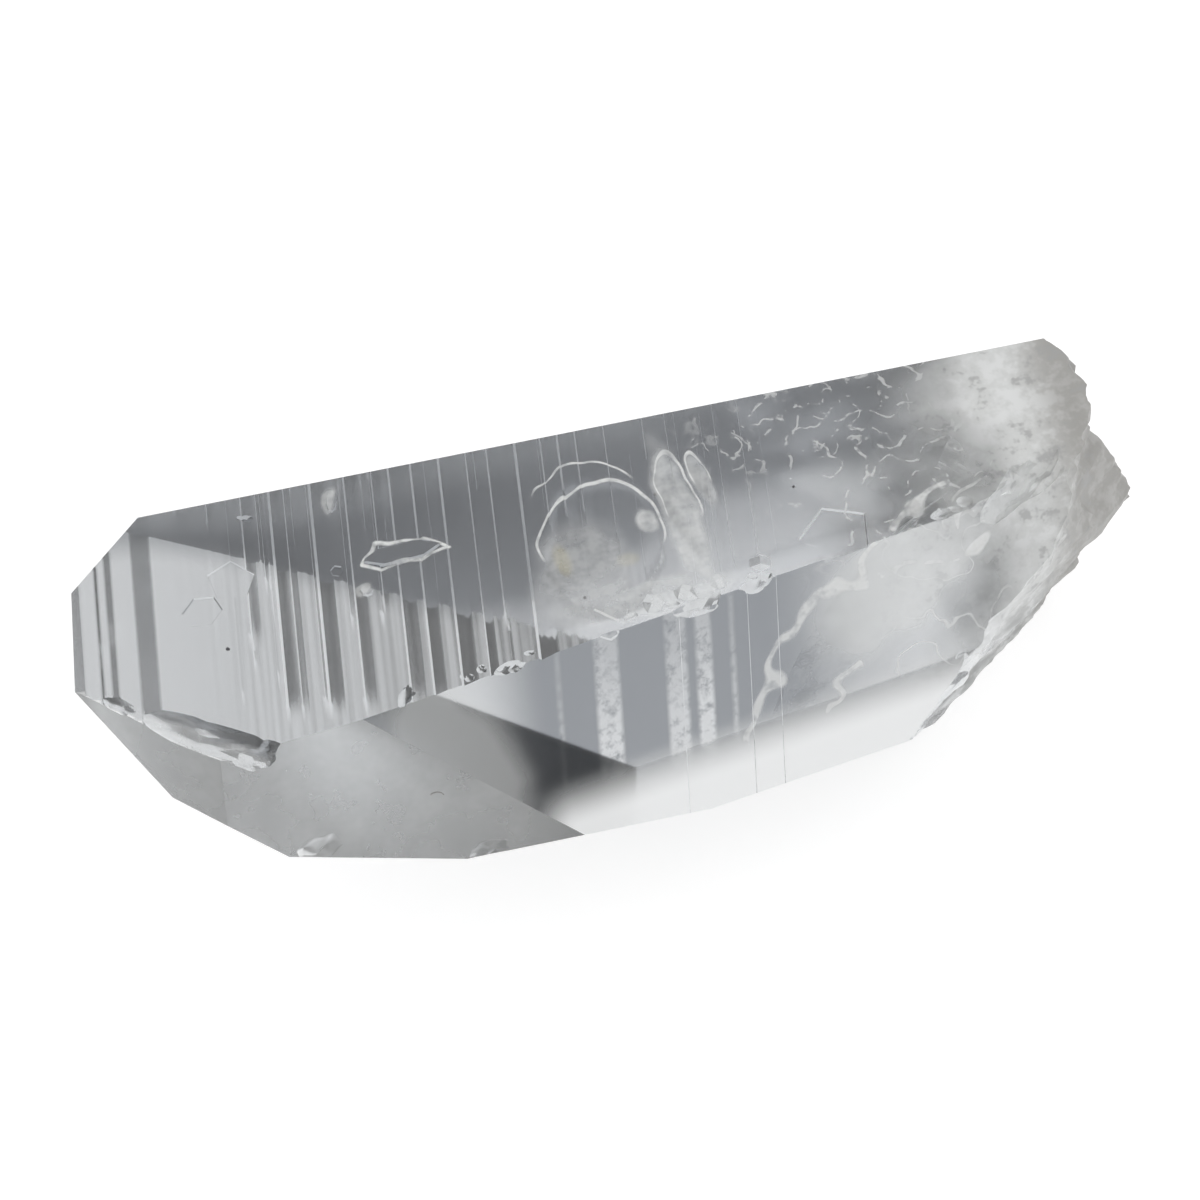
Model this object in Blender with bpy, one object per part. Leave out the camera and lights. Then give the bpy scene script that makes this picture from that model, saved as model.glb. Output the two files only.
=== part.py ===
"""A clear quartz point that lies on one of its prism faces, made as one solid.

The tip is at -X, the broken root at +X and the ladder-marked prism face is on top.
Lengths are millimetres in the layout frame, whose X follows the crystal and whose
Z starts at the resting face. MM turns them into metres as the meshes are made.
"""

import math

import bmesh
import bpy
from mathutils import Matrix, Vector, noise

MM = 0.001
NAME = "quartz_point"

# Driving sizes of the crystal
HEIGHT = 26.5
TAPER = 9.2
PRISM_SLOPE = 30.0
RHOMB_SLOPE = 23.1
RHOMB_TURN = 47.8
BLANK_SIZE = 160.0
BOX_MIDDLE = Vector((-0.88, -9.132, 0.0))

# Natural faces: compass angle of the normal, its rise, and the distance from the layout origin
TOP_FACE = (0.0, 90.0, HEIGHT)
REST_FACE = (0.0, -90.0, 0.0)
FRONT_FACE = (TAPER - 90.0, PRISM_SLOPE, 26.8)
LOW_FRONT_FACE = (-90.0, -PRISM_SLOPE, 14.7)
BACK_FACE = (90.6, PRISM_SLOPE, 13.64)
LOW_BACK_FACE = (TAPER + 90.0, -PRISM_SLOPE, -6.65)
FRONT_TIP_FACE = (RHOMB_TURN - 180.0, RHOMB_SLOPE, 43.5)
BACK_TIP_FACE = (180.0 - RHOMB_TURN, RHOMB_SLOPE, 31.1)
LOW_TIP_FACE = (172.0, -55.0, 0.43)
LOW_FRONT_TIP_FACE = (RHOMB_TURN - 180.0, -RHOMB_SLOPE, 26.5)
SIDE_FACE = (-84.2, 27.3, 27.29)
LOW_SIDE_FACE = (-104.5, -30.0, 17.3)
ROOT_SIDE_FACE = (-81.5, -28.3, 15.5)

CRYSTAL_FACES = (
    TOP_FACE,
    REST_FACE,
    FRONT_FACE,
    LOW_FRONT_FACE,
    BACK_FACE,
    LOW_BACK_FACE,
    FRONT_TIP_FACE,
    BACK_TIP_FACE,
    LOW_TIP_FACE,
    LOW_FRONT_TIP_FACE,
    SIDE_FACE,
    LOW_SIDE_FACE,
    ROOT_SIDE_FACE,
)

# Broken root: planes x = reach + y_slope * (y - y_at) + z_slope * (z - z_at)
BREAK_PLANES = (
    (33.2, -0.45, 0.4, -0.2, HEIGHT),
    (34.8, 0.8, -6.7, -0.3, HEIGHT),
    (31.6, 1.4, -12.0, 0.1, 12.0),
    (39.5, -0.15, -5.0, 0.45, 13.0),
    (38.2, -0.9, 1.0, 0.1, 13.0),
    (26.6, 1.3, -14.0, 0.4, 9.0),
)
# Shell-shaped hollows in the break: y, z, radius, depth
BREAK_SHELLS = (
    (-5.9, 24.3, 3.6, 1.7),
    (-2.0, 20.5, 4.5, 0.9),
    (-9.0, 20.0, 4.5, 1.6),
    (-7.5, 9.0, 5.0, 1.4),
    (-15.0, 15.0, 4.0, 1.2),
    (-16.0, 6.5, 4.5, 1.5),
    (3.0, 10.0, 4.5, 1.2),
)
BREAK_ROUGHNESS = 0.75
BREAK_GRAIN = 0.34
BREAK_GRAIN_SEED = 5.1
BREAK_FALLOFF = 0.6
BREAK_LACUNARITY = 2.0
BREAK_OCTAVES = 3
BREAK_STEPS = 30
BREAK_SPAN_Y = (-30.0, 17.0)
BREAK_SPAN_Z = (-4.0, HEIGHT + 4.0)

# Ladder ledges: start along the ladder direction, width and depth
LADDER_TURN = -6.1
TOP_LEDGES = (
    (-37.7, 1.1, 0.16),
    (-36.4, 0.4, 0.08),
    (-35.9, 0.4, 0.10),
    (-35.4, 1.3, 0.20),
    (-32.5, 0.9, 0.10),
    (-30.6, 1.1, 0.07),
    (-28.4, 0.8, 0.08),
    (-26.0, 1.2, 0.14),
    (-24.0, 0.8, 0.24),
    (-23.1, 0.6, 0.10),
    (-21.1, 1.2, 0.26),
    (-18.6, 0.9, 0.16),
    (-16.6, 0.6, 0.10),
    (-15.4, 1.1, 0.18),
    (-13.8, 0.9, 0.18),
    (-11.8, 1.2, 0.22),
    (-9.8, 0.7, 0.12),
    (-8.3, 0.9, 0.14),
    (-6.3, 1.4, 0.26),
    (-4.4, 0.7, 0.12),
    (-3.2, 0.9, 0.20),
    (-1.9, 0.8, 0.14),
    (0.2, 0.7, 0.10),
    (3.0, 1.3, 0.08),
    (9.9, 1.5, 0.05),
)
FRONT_LEDGES = ((-9.6, 1.0, 0.06), (-2.4, 1.7, 0.22), (3.4, 1.5, 0.18), (5.4, 1.2, 0.14), (11.0, 1.4, 0.08))
LOW_BACK_LEDGES = tuple((-26.0 + 3.7 * n, 1.0 + 0.2 * (n % 3), 0.10 + 0.04 * (n % 2)) for n in range(12))
LEDGE_RISER = 0.06
LEDGE_LIFT = 0.05
LEDGE_HEADROOM = 1.5
LEDGE_REACH = 30.0

# Shell-shaped chips: centre, radii and turn about the vertical, all cut out of the crystal
CHIPS = {
    "tip_edge_chip_long": ((-33.6, -17.2, 27.7), (3.7, 1.9, 2.5), -36.0),
    "tip_edge_chip_wide": ((-29.8, -20.1, 28.1), (3.7, 2.3, 3.3), -26.0),
    "tip_edge_chip_low": ((-29.8, -22.9, 25.6), (1.4, 1.2, 1.9), 20.0),
    "tip_edge_chip_end": ((-37.4, -14.3, 27.3), (2.3, 1.0, 1.3), -42.0),
    "front_edge_chip": ((-25.0, -26.4, 18.6), (2.5, 1.5, 1.7), 6.0),
    "front_edge_nick": ((-13.4, -26.3, 14.8), (2.2, 1.2, 1.5), 4.0),
    "ridge_chip_a": ((3.6, -15.9, 27.6), (2.6, 1.5, 2.0), 20.0),
    "ridge_chip_b": ((-2.4, -17.1, 27.9), (2.2, 1.2, 1.9), -12.0),
    "ridge_chip_c": ((7.8, -14.9, 27.8), (2.3, 1.2, 1.9), 28.0),
    "ridge_chip_d": ((-10.3, -18.2, 28.0), (1.6, 1.0, 1.8), 12.0),
    "top_pit": ((-26.0, -1.6, 27.4), (0.9, 0.45, 1.15), -18.0),
    "root_top_hollow": ((28.6, -4.6, 29.5), (4.6, 2.0, 3.5), 52.0),
    "root_ridge_hollow": ((26.0, -13.2, 30.0), (7.2, 2.6, 5.4), 38.0),
    "root_front_hollow": ((21.0, -23.6, 18.4), (5.6, 2.6, 4.4), 36.0),
}
CHIP_RINGS = 14
CHIP_SEGMENTS = 22

# Flat-floored growth keys in the top face: centre x and y, radius, sides, stretch along X, turn
KEYS = {
    "five_sided_key": ((14.4, -11.9), 2.3, 5, 1.15, 12.0),
    "pointed_key": ((-27.9, -6.4), 1.7, 5, 0.95, 62.0),
    "pointed_key_foot": ((-30.3, -8.4), 1.2, 6, 1.2, 20.0),
}
KEY_DEPTH = 0.22
KEY_FLARE = 1.35
KEY_HEADROOM = 2.0

# Low growth hills on the top face: centre x and y, radii, turn
HILLS = {
    "arched_hill": ((-1.5, -10.4), (4.3, 6.2, 0.42), -8.0),
    "tall_hill": ((4.7, -6.2), (1.25, 4.3, 0.36), -4.0),
    "short_hill": ((6.6, -5.1), (0.6, 2.1, 0.28), 4.0),
}

# Small crystals grown into the faces: centre, length, width, turn, share of the width that stands out
SMALL_CRYSTALS = {
    "double_pointed_crystal": ((-15.8, -6.8), 6.3, 2.1, 1.5, 0.28),
    "round_crystal_a": ((-19.8, -1.6), 2.4, 2.0, 76.0, 0.24),
    "round_crystal_b": ((-18.8, -9.3), 1.5, 1.3, 40.0, 0.26),
    "ridge_crystal_a": ((0.6, -14.6), 2.2, 1.4, 50.0, 0.34),
    "ridge_crystal_b": ((2.9, -14.3), 2.0, 1.2, -30.0, 0.36),
    "ridge_crystal_c": ((5.4, -13.9), 1.7, 1.1, 12.0, 0.30),
    "blunt_crystal": ((8.6, -13.0), 2.3, 1.5, 82.0, 0.22),
}
CRYSTAL_SIDES = 6
CRYSTAL_TIP_SHARE = 0.55

# Look of the material
QUARTZ_COLOR = (0.93, 0.94, 0.95, 1.0)
QUARTZ_IOR = 1.544
QUARTZ_ROUGHNESS = 0.04
SHARP_ANGLE = math.radians(40.0)


def direction(compass, rise):
    """The unit vector at a compass angle from +X and a rise above the level, in degrees."""
    turn = math.radians(compass)
    climb = math.radians(rise)
    level = math.cos(climb)
    return Vector((level * math.cos(turn), level * math.sin(turn), math.sin(climb)))


def clear_scene():
    for obj in list(bpy.data.objects):
        bpy.data.objects.remove(obj)


def new_collection(name):
    collection = bpy.data.collections.new(name)
    bpy.context.scene.collection.children.link(collection)
    return collection


def new_object(bm, name, collection, frame):
    """Turns a bmesh laid out in millimetres into an object in metres under the layout frame."""
    bmesh.ops.recalc_face_normals(bm, faces=bm.faces[:])
    bmesh.ops.scale(bm, vec=Vector((MM, MM, MM)), verts=bm.verts[:])
    mesh = bpy.data.meshes.new(name)
    bm.to_mesh(mesh)
    bm.free()
    obj = bpy.data.objects.new(name, mesh)
    obj.parent = frame
    collection.objects.link(obj)
    return obj


def smooth_sides(obj):
    """Shades a rounded shape smooth, but for its sharp edges."""
    obj.data.shade_smooth()
    obj.data.set_sharp_from_angle(angle=SHARP_ANGLE)
    return obj


def cut_away(bm, normal, distance):
    """Takes off what lies past a plane and closes the cut."""
    cut = bmesh.ops.bisect_plane(
        bm,
        geom=bm.verts[:] + bm.edges[:] + bm.faces[:],
        plane_co=normal * distance,
        plane_no=normal,
        clear_outer=True,
    )
    rim = [item for item in cut["geom_cut"] if isinstance(item, bmesh.types.BMEdge)]
    bmesh.ops.edgeloop_fill(bm, edges=rim)


def quartz_material():
    material = bpy.data.materials.new("clear_quartz")
    material.use_nodes = True
    shader = material.node_tree.nodes["Principled BSDF"]
    shader.inputs["Base Color"].default_value = QUARTZ_COLOR
    shader.inputs["Roughness"].default_value = QUARTZ_ROUGHNESS
    shader.inputs["Metallic"].default_value = 0.0
    shader.inputs["IOR"].default_value = QUARTZ_IOR
    shader.inputs["Transmission Weight"].default_value = 1.0
    return material


def crystal_body(collection, frame):
    """The whole crystal before it was marked and broken: a block cut by its natural faces."""
    bm = bmesh.new()
    bmesh.ops.create_cube(bm, size=BLANK_SIZE)
    for compass, rise, distance in CRYSTAL_FACES:
        cut_away(bm, direction(compass, rise), distance)
    body = new_object(bm, NAME, collection, frame)
    body.data.materials.append(quartz_material())
    return body


def break_reach(y, z):
    """How far along X the broken root reaches at one place across the crystal."""
    reach = min(
        start + y_slope * (y - y_at) + z_slope * (z - z_at)
        for start, y_slope, y_at, z_slope, z_at in BREAK_PLANES
    )
    for shell_y, shell_z, radius, depth in BREAK_SHELLS:
        off = math.hypot(y - shell_y, z - shell_z) / radius
        reach -= depth * max(0.0, 1.0 - off * off)
    grain = Vector((BREAK_GRAIN_SEED, y * BREAK_GRAIN, z * BREAK_GRAIN))
    rough = noise.fractal(grain, BREAK_FALLOFF, BREAK_LACUNARITY, BREAK_OCTAVES)
    return reach + BREAK_ROUGHNESS * rough


def root_cutter(collection, frame):
    """All that the break took away: a rough sheet across the crystal, carried out past the root."""
    low_y, high_y = BREAK_SPAN_Y
    low_z, high_z = BREAK_SPAN_Z
    bm = bmesh.new()
    bmesh.ops.create_grid(bm, x_segments=BREAK_STEPS, y_segments=BREAK_STEPS, size=0.5)
    for vertex in bm.verts:
        y = low_y + (high_y - low_y) * (vertex.co.x + 0.5)
        z = low_z + (high_z - low_z) * (vertex.co.y + 0.5)
        vertex.co = (break_reach(y, z), y, z)
    carried = bmesh.ops.extrude_face_region(bm, geom=bm.faces[:])
    for item in carried["geom"]:
        if isinstance(item, bmesh.types.BMVert):
            item.co.x = BLANK_SIZE
    return smooth_sides(new_object(bm, "root_break", collection, frame))


def ledge_cutter(name, ledges, face, collection, frame):
    """Ladder ledges across one face: a saw-toothed strip that dips below the surface at each ledge."""
    normal = direction(face[0], face[1])
    across = normal.cross(direction(LADDER_TURN, 0.0)).normalized()
    along = across.cross(normal)
    surface = normal * face[2]
    near_end = surface - across * LEDGE_REACH
    profile = [(-BLANK_SIZE / 2, LEDGE_LIFT)]
    for start, width, depth in sorted(ledges):
        profile.append((start, LEDGE_LIFT))
        profile.append((start + LEDGE_RISER, -depth))
        profile.append((start + width, LEDGE_LIFT))
    profile.append((BLANK_SIZE / 2, LEDGE_LIFT))
    profile.append((BLANK_SIZE / 2, LEDGE_HEADROOM))
    profile.append((-BLANK_SIZE / 2, LEDGE_HEADROOM))
    bm = bmesh.new()
    rim = []
    for distance, height in profile:
        rim.append(bm.verts.new(near_end + along * distance + normal * height))
    side = bm.faces.new(rim)
    swept = bmesh.ops.extrude_face_region(bm, geom=[side])
    moved = [item for item in swept["geom"] if isinstance(item, bmesh.types.BMVert)]
    bmesh.ops.translate(bm, vec=across * LEDGE_REACH * 2.0, verts=moved)
    bmesh.ops.triangulate(bm, faces=bm.faces[:])
    return new_object(bm, name, collection, frame)


def rounded_lump(name, centre, radii, turn, collection, frame):
    """A stretched ball, which cuts a shell-shaped chip or stands out as a low hill."""
    bm = bmesh.new()
    bmesh.ops.create_uvsphere(bm, u_segments=CHIP_SEGMENTS, v_segments=CHIP_RINGS, radius=1.0)
    place = (
        Matrix.Translation(centre)
        @ Matrix.Rotation(math.radians(turn), 4, "Z")
        @ Matrix.Diagonal((*radii, 1.0))
    )
    bmesh.ops.transform(bm, matrix=place, verts=bm.verts[:])
    return smooth_sides(new_object(bm, name, collection, frame))


def key_cutter(name, spot, radius, sides, stretch, turn, collection, frame):
    """A flat-floored pocket that another crystal left as it was pulled off the top face."""
    bm = bmesh.new()
    bmesh.ops.create_cone(
        bm,
        cap_ends=True,
        segments=sides,
        radius1=radius,
        radius2=radius * KEY_FLARE,
        depth=KEY_HEADROOM,
    )
    floor = HEIGHT - KEY_DEPTH
    place = (
        Matrix.Translation((*spot, floor + KEY_HEADROOM / 2))
        @ Matrix.Rotation(math.radians(turn), 4, "Z")
        @ Matrix.Diagonal((stretch, 1.0, 1.0, 1.0))
    )
    bmesh.ops.transform(bm, matrix=place, verts=bm.verts[:])
    return new_object(bm, name, collection, frame)


def small_crystal(name, spot, length, width, turn, stand_out, collection, frame):
    """A little six-sided crystal with a point at each end, sunk into the top face."""
    tip = width * CRYSTAL_TIP_SHARE
    corner_radius = width / 2.0 / math.cos(math.pi / CRYSTAL_SIDES)
    bm = bmesh.new()
    bmesh.ops.create_cone(
        bm,
        cap_ends=True,
        segments=CRYSTAL_SIDES,
        radius1=corner_radius,
        radius2=corner_radius,
        depth=length - 2.0 * tip,
    )
    ends = [side for side in bm.faces if len(side.verts) == CRYSTAL_SIDES]
    bmesh.ops.poke(bm, faces=ends, offset=tip)
    flat_up = Matrix.Rotation(math.pi / CRYSTAL_SIDES, 4, "Z")
    lie_down = Matrix.Rotation(math.radians(90.0), 4, "Y")
    place = (
        Matrix.Translation((*spot, HEIGHT + width * (stand_out - 0.5)))
        @ Matrix.Rotation(math.radians(turn), 4, "Z")
        @ lie_down
        @ flat_up
    )
    bmesh.ops.transform(bm, matrix=place, verts=bm.verts[:])
    return new_object(bm, name, collection, frame)


def combine(body, tool, operation):
    """Cuts with a helper shape, or joins it on, and keeps the helper out of the render."""
    tool.hide_render = True
    tool.display_type = "WIRE"
    step = body.modifiers.new(tool.name, "BOOLEAN")
    step.operation = operation
    step.solver = "EXACT"
    step.object = tool


def build_crystal():
    clear_scene()
    parts = new_collection("lemurian_quartz_point")
    cutters = new_collection("cutters")
    frame = bpy.data.objects.new("layout_frame", None)
    frame.location = -BOX_MIDDLE * MM
    parts.objects.link(frame)

    body = crystal_body(parts, frame)
    for name, (spot, radii, turn) in HILLS.items():
        hill = rounded_lump(name, (*spot, HEIGHT), radii, turn, cutters, frame)
        combine(body, hill, "UNION")
    ledges = (
        ("top_ledges", TOP_LEDGES, TOP_FACE),
        ("front_ledges", FRONT_LEDGES, FRONT_FACE),
        ("low_back_ledges", LOW_BACK_LEDGES, LOW_BACK_FACE),
    )
    for name, marks, face in ledges:
        combine(body, ledge_cutter(name, marks, face, cutters, frame), "DIFFERENCE")
    combine(body, root_cutter(cutters, frame), "DIFFERENCE")
    for name, (centre, radii, turn) in CHIPS.items():
        combine(body, rounded_lump(name, centre, radii, turn, cutters, frame), "DIFFERENCE")
    for name, shape in KEYS.items():
        combine(body, key_cutter(name, *shape, cutters, frame), "DIFFERENCE")
    for name, shape in SMALL_CRYSTALS.items():
        combine(body, small_crystal(name, *shape, cutters, frame), "UNION")


build_crystal()
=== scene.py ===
"""The looks of a clear quartz point that lies on one of its prism faces.

Places are millimetres in the layout frame: X follows the crystal from its tip to its
broken root, Y runs to the back, and Z starts at the resting face. at() turns them into
metres in the shared frame.
"""

import math
import random

import bpy
import numpy as np
from bpy.props import FloatProperty, FloatVectorProperty, PointerProperty
from mathutils import Matrix, Vector, noise


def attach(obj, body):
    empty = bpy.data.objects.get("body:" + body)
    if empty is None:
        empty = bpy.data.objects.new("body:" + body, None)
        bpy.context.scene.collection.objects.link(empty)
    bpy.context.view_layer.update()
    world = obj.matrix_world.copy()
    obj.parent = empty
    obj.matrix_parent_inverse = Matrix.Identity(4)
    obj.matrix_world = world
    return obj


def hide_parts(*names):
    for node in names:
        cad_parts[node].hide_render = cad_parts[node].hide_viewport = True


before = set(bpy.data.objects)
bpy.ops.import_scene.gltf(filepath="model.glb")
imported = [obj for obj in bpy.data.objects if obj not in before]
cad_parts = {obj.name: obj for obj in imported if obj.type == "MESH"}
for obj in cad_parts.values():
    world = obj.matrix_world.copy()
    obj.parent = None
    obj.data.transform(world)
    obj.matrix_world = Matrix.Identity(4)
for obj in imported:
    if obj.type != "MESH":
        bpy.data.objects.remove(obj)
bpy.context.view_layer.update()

bl_info = {
    "name": "Quartz point looks",
    "version": (1, 0, 0),
    "blender": (4, 5, 0),
    "location": "3D View > Sidebar > Quartz",
    "description": "Models a clear quartz point with its marks and flaws, and the stage it lies on",
    "category": "Object",
}

MM = 0.001
NODE = "quartz_point"
BODY = "root"
LAYOUT_MIDDLE = Vector((-0.88, -9.132, 0.0))

# Natural faces: compass angle of the normal, its rise, and the distance from the layout origin
HEIGHT = 26.5
TAPER = 9.2
PRISM_SLOPE = 30.0
RHOMB_SLOPE = 23.1
RHOMB_TURN = 47.8
BLANK_SIZE = 160.0
TOP_SPARE = 0.9
TOP_FACE = (0.0, 90.0, HEIGHT)
FRONT_FACE = (TAPER - 90.0, PRISM_SLOPE, 26.8)
FRONT_TIP_FACE = (RHOMB_TURN - 180.0, RHOMB_SLOPE, 43.5)
SIDE_FACE = (-84.2, 27.3, 27.29)
PLAIN_FACES = (
    (0.0, 90.0, HEIGHT + TOP_SPARE),
    (0.0, -90.0, 0.0),
    FRONT_FACE,
    (-90.0, -PRISM_SLOPE, 14.7),
    (90.6, PRISM_SLOPE, 13.64),
    (TAPER + 90.0, -PRISM_SLOPE, -6.65),
    FRONT_TIP_FACE,
    (180.0 - RHOMB_TURN, RHOMB_SLOPE, 31.1),
    (172.0, -55.0, 0.43),
    (RHOMB_TURN - 180.0, -RHOMB_SLOPE, 26.5),
    SIDE_FACE,
    (-104.5, -30.0, 17.3),
    (-81.5, -28.3, 15.5),
)

# Broken root: planes x = reach + y_slope * (y - y_at) + z_slope * (z - z_at)
BREAK_PLANES = (
    (33.2, -0.45, 0.4, -0.2, HEIGHT),
    (34.8, 0.8, -6.7, -0.3, HEIGHT),
    (31.6, 1.4, -12.0, 0.1, 12.0),
    (39.5, -0.15, -5.0, 0.45, 13.0),
    (38.2, -0.9, 1.0, 0.1, 13.0),
    (26.6, 1.3, -14.0, 0.4, 9.0),
)
# Shell-shaped hollows in the break: y, z, radius, depth
BREAK_SHELLS = (
    (-5.9, 24.3, 3.6, 1.7),
    (-2.0, 20.5, 4.5, 0.9),
    (-9.0, 20.0, 4.5, 1.6),
    (-7.5, 9.0, 5.0, 1.4),
    (-15.0, 15.0, 4.0, 1.2),
    (-16.0, 6.5, 4.5, 1.5),
    (3.0, 10.0, 4.5, 1.2),
)
# Rough layers of the break: size of the rise, how fine it is, octaves
BREAK_LAYERS = ((0.75, 0.34, 3), (0.16, 1.1, 4))
# Roughness of the noise in the break and the chips: how fast its octaves fade, how much finer each is
BREAK_FADE = 0.6
CHIP_FADE = 0.7
FINER = 2.0
BREAK_SLICE = 5.1
BREAK_SPAN_Y = (-30.0, 17.0)
BREAK_SPAN_Z = (-4.0, HEIGHT + 4.0)
BREAK_STEPS_Y = 110
BREAK_STEPS_Z = 84

# Ladder marks. A riser is a tilted strip that lifts the face towards the root: start, end and rise.
# A ledge falls at its start and climbs back over its width: start, width, depth and its stretch
# across the face, which both measure along the ladder direction and across it.
LADDER_TURN = -6.1
RISER_RUN = 1.2
TIP_RISERS = (
    (-40.5, -37.73, 0.42),
    (-36.58, -36.44, 0.04),
    (-35.9, -35.4, 0.09),
    (-33.97, -32.54, 0.24),
)
TOP_LEDGES = (
    (-31.6, 0.35, 0.03, -1.0, 4.0),
    (-30.6, 0.50, 0.04, -3.0, 4.0),
    (-28.4, 0.50, 0.05, -4.5, 4.0),
    (-26.0, 0.80, 0.08, -14.0, 4.0),
    (-24.0, 1.00, 0.15, -20.0, 4.0),
    (-22.9, 0.50, 0.05, -20.0, 4.0),
    (-21.1, 1.20, 0.17, -20.0, 4.0),
    (-18.6, 0.90, 0.10, -20.0, 4.0),
    (-16.6, 0.60, 0.06, -12.0, 4.0),
    (-15.4, 1.10, 0.12, -20.0, 4.0),
    (-13.8, 0.90, 0.12, -20.0, 4.0),
    (-11.8, 1.20, 0.14, -20.0, 4.0),
    (-9.8, 0.70, 0.08, -20.0, 4.0),
    (-8.3, 0.90, 0.09, -14.0, 4.0),
    (-6.3, 1.40, 0.17, -20.0, 4.0),
    (-4.4, 0.70, 0.08, -8.0, 4.0),
    (-3.2, 0.90, 0.13, -7.0, 4.0),
    (-1.9, 0.80, 0.09, -7.0, 4.0),
    (0.2, 0.70, 0.06, -9.0, 4.0),
    (3.0, 1.30, 0.05, -3.0, 4.0),
    (9.9, 1.50, 0.03, -20.0, 4.0),
)
FRONT_LEDGES = (
    (-2.4, 1.7, 0.05, -40.0, 40.0),
    (2.7, 1.5, 0.04, -40.0, 40.0),
    (4.9, 1.1, 0.04, -40.0, 40.0),
)
LEDGE_FADE = 2.0
# Hair-fine ledges of random place: how many, where along the crystal, width, steepness, and where across it
FINE_LEDGES = 40
FINE_SEED = 7
FINE_SPAN = (-27.0, 12.0)
FINE_WIDTH = (0.16, 0.5)
FINE_STEEPNESS = (0.03, 0.08)
FINE_LOW = (-20.0, -4.0)
FINE_HIGH = (-6.0, 5.0)
FINE_LEAST_REACH = 3.0
# Grids of the cut natural faces: stretch along them, spacing along and across, stretch across the top
RELIEF_SPAN = (-43.0, 44.0)
TOP_SPACING = (0.25, 0.4)
FRONT_SPACING = (1.0, 1.5)
TOP_SPAN = (-26.0, 8.0)
FRONT_SPAN = (-40.0, 30.0)
RELIEF_DEPTH = 4.0
LEAST_GAP = 0.004

# Shell-shaped chips: centre, radii, turn about the vertical, and how uneven they are
CHIPS = {
    "tip_edge_chip_long": ((-31.4, -18.5, 27.6), (6.8, 1.5, 2.0), -30.0, 0.10),
    "tip_edge_chip_wide": ((-28.4, -20.6, 27.7), (2.6, 1.5, 2.6), -14.0, 0.16),
    "tip_edge_chip_mid": ((-33.2, -17.9, 27.3), (1.6, 1.0, 1.5), -50.0, 0.2),
    "tip_edge_chip_low": ((-29.8, -22.3, 25.4), (1.4, 1.2, 1.6), 20.0, 0.15),
    "tip_edge_chip_end": ((-37.4, -14.3, 27.3), (2.3, 1.0, 1.3), -42.0, 0.12),
    "front_edge_chip": ((-25.3, -25.0, 18.9), (2.5, 1.5, 1.7), 6.0, 0.12),
    "front_edge_nick": ((-13.4, -25.6, 14.8), (2.2, 1.2, 1.5), 4.0, 0.12),
    "ridge_chip_a": ((3.6, -15.9, 27.6), (2.6, 1.5, 2.0), 20.0, 0.12),
    "ridge_chip_b": ((-2.4, -17.1, 27.9), (2.2, 1.2, 1.9), -12.0, 0.12),
    "ridge_chip_c": ((7.8, -14.9, 27.8), (2.3, 1.2, 1.9), 28.0, 0.12),
    "ridge_chip_d": ((-10.3, -17.6, 27.6), (1.6, 0.9, 1.6), 12.0, 0.12),
    "top_pit": ((-26.0, -1.6, 27.4), (0.9, 0.45, 1.15), -18.0, 0.08),
    "root_ridge_hollow": ((27.5, -11.2, 29.0), (6.0, 2.2, 3.9), 32.0, 0.25),
    "root_front_hollow": ((21.0, -21.6, 18.4), (5.6, 2.6, 4.4), 36.0, 0.2),
}
CHIP_GRAIN = 1.3
CHIP_OCTAVES = 3
# Shell-like ripples of a chip: how deep, how many to the radian, and where they spread from
RIPPLE = (0.02, 16.0, 0.6)
# Small random chips along the ridge: y where x is 0 and the slope of the ridge, and the range of each value
RIDGE_NICKS = 18
RIDGE_NICK_SEED = 11
RIDGE_NICK_SPAN = (-22.0, 24.0)
RIDGE_LINE = (-15.3, 0.162)
NICK_SIZE = (0.2, 0.5)
NICK_OFF_RIDGE = (-0.2, 0.2)
NICK_LIFT = (0.1, 0.5)
NICK_STRETCH = (1.0, 2.2)
NICK_HEIGHT = 0.9
NICK_TURN = (-40.0, 60.0)
NICK_UNEVEN = 0.1
NICK_FINENESS = 2

# Flat-floored growth keys in the top face: centre x and y, radius, sides, stretch along X, turn
KEYS = {
    "five_sided_key": ((14.4, -11.9), 2.3, 5, 1.15, 12.0),
    "pointed_key": ((-27.9, -6.4), 1.7, 5, 0.95, 62.0),
    "pointed_key_foot": ((-30.3, -8.4), 1.2, 6, 1.2, 20.0),
    "small_key": ((-20.5, -7.2), 0.45, 6, 1.0, 10.0),
}
KEY_DEPTH = 0.2
KEY_FLARE = 1.3
KEY_HEADROOM = 2.0

# Low flat-topped growth hills on the top face: centre x and y, radii and height, turn, share that slopes
HILLS = (
    ((-1.7, -9.3), (4.2, 5.5, 0.10), -10.0, 0.10),
    ((4.3, -6.8), (1.2, 4.2, 0.26), 5.0, 0.5),
    ((6.3, -5.3), (0.6, 2.1, 0.18), 12.0, 0.5),
)
HILL_GRAIN = 0.4
HILL_UNEVEN = 0.2

# Small crystals grown into the top face: centre, length, width, turn, share of the width that stands out
SMALL_CRYSTALS = {
    "ridge_crystal_a": ((0.6, -14.6), 2.2, 1.4, 50.0, 0.34),
    "ridge_crystal_b": ((2.9, -14.3), 2.0, 1.2, -30.0, 0.36),
    "ridge_crystal_c": ((5.4, -13.9), 1.7, 1.1, 12.0, 0.30),
    "blunt_crystal": ((8.6, -13.0), 2.3, 1.5, 82.0, 0.22),
}
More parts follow.
